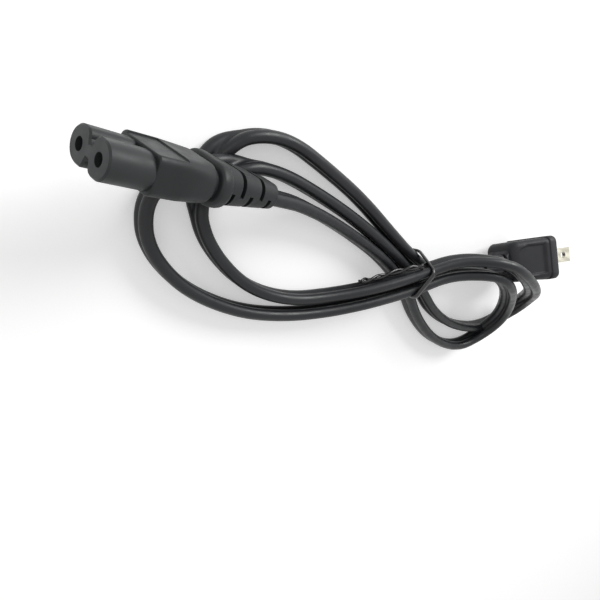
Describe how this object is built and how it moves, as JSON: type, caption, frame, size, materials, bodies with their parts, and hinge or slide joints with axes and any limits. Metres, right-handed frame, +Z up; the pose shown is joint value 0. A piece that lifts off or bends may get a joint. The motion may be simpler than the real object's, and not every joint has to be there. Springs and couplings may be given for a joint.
{
  "type": "power cord",
  "caption": "Flat twin-core power cord tied in two lobes, with a two-hole appliance connector at one end and a moulded two-blade mains plug at the other.",
  "frame": {"origin": "on the table, under the centre of the box that holds the connector and the plug", "axes": "+X from the connector to the plug, +Z up from the table, +Y to the side that the cord's loops leave free"},
  "size_m": [0.2106, 0.067, 0.0359],
  "materials": {
    "connector_insert": "satin",
    "connector_body": "matte",
    "contacts": "satin",
    "cord": "satin",
    "cord_tie": "gloss",
    "plug_body": "satin",
    "blade_bridge": "matte",
    "blades": "nickel plated, satin"
  },
  "bodies": {
    "root": {"connector_insert": "connector_insert", "connector_body": "connector_body", "contact_upper": "contacts", "contact_lower": "contacts", "cord": "cord", "cord_tie": "cord_tie", "plug_body": "plug_body", "blade_bridge": "blade_bridge", "blade_upper": "blades", "blade_lower": "blades"}
  },
  "joints": []
}
